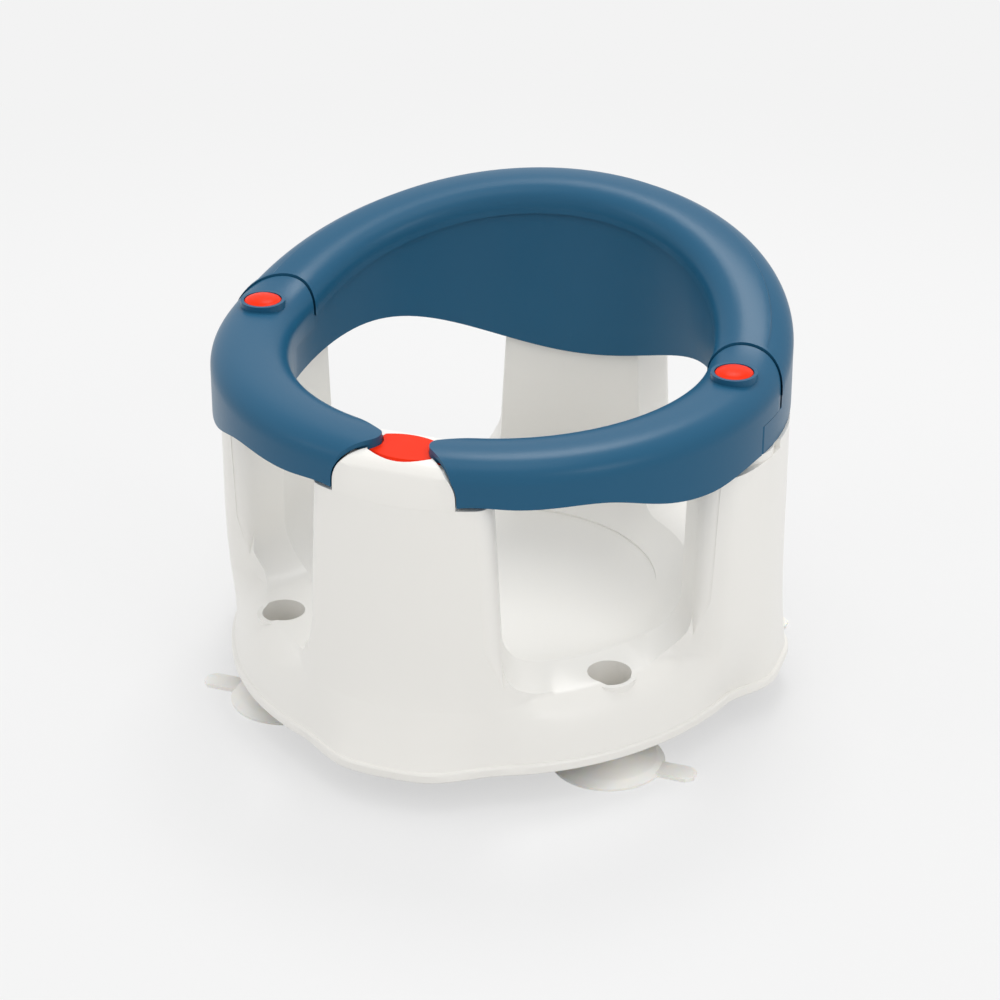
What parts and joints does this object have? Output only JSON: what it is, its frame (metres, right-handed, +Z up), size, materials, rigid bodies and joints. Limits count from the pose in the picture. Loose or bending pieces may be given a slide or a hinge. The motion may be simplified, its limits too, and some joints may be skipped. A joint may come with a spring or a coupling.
{
  "type": "baby bath seat",
  "caption": "Baby bath seat: moulded tub on suction cups, with upright columns, a rounded rail with a high back and hinged front arms closed by a push latch.",
  "frame": {"origin": "on the floor below the middle of the rail", "axes": "+Z up, the front post towards -Y, the seat's right arm in the picture towards +X"},
  "size_m": [0.3514, 0.3756, 0.2616],
  "materials": {
    "white_shell": "semi-gloss white plastic",
    "blue_rail": "semi-gloss blue plastic",
    "red_button": "semi-gloss red plastic",
    "soft_cup": "soft translucent vinyl",
    "steel": "plain steel"
  },
  "bodies": {
    "frame": {"seat_base": "white_shell", "backrest_ring": "blue_rail", "right_pivot_screw": "steel", "left_pivot_screw": "steel", "right_side_screw": "steel", "left_side_screw": "steel", "right_back_screw": "steel", "left_back_screw": "steel", "right_retainer_screw": "steel", "left_retainer_screw": "steel", "latch_retainer": "white_shell", "latch_spring": "steel", "front_left_suction_cup": "soft_cup", "front_right_suction_cup": "soft_cup", "rear_left_suction_cup": "soft_cup", "rear_right_suction_cup": "soft_cup"},
    "right_arm_body": {"right_arm": "blue_rail", "right_pivot_cap": "red_button"},
    "left_arm_body": {"left_arm": "blue_rail", "left_pivot_cap": "red_button"},
    "latch_body": {"latch_button": "red_button", "latch_clip": "steel"}
  },
  "joints": [
    {"name": "right_arm_swing", "type": "hinge", "parent": "frame", "child": "right_arm_body", "pos_m": [0.146, -0.015, 0.2], "axis": [0, 0, 1], "range_deg": [0, 40]},
    {"name": "left_arm_swing", "type": "hinge", "parent": "frame", "child": "left_arm_body", "pos_m": [-0.146, -0.015, 0.2], "axis": [0, 0, -1], "range_deg": [0, 40]},
    {"name": "latch_push", "type": "slide", "parent": "frame", "child": "latch_body", "axis": [0, 0, -1], "range_m": [0, 0.005], "stiffness_N_per_m": 700, "springref_m": -0.004, "deforming": ["latch_spring"]}
  ]
}
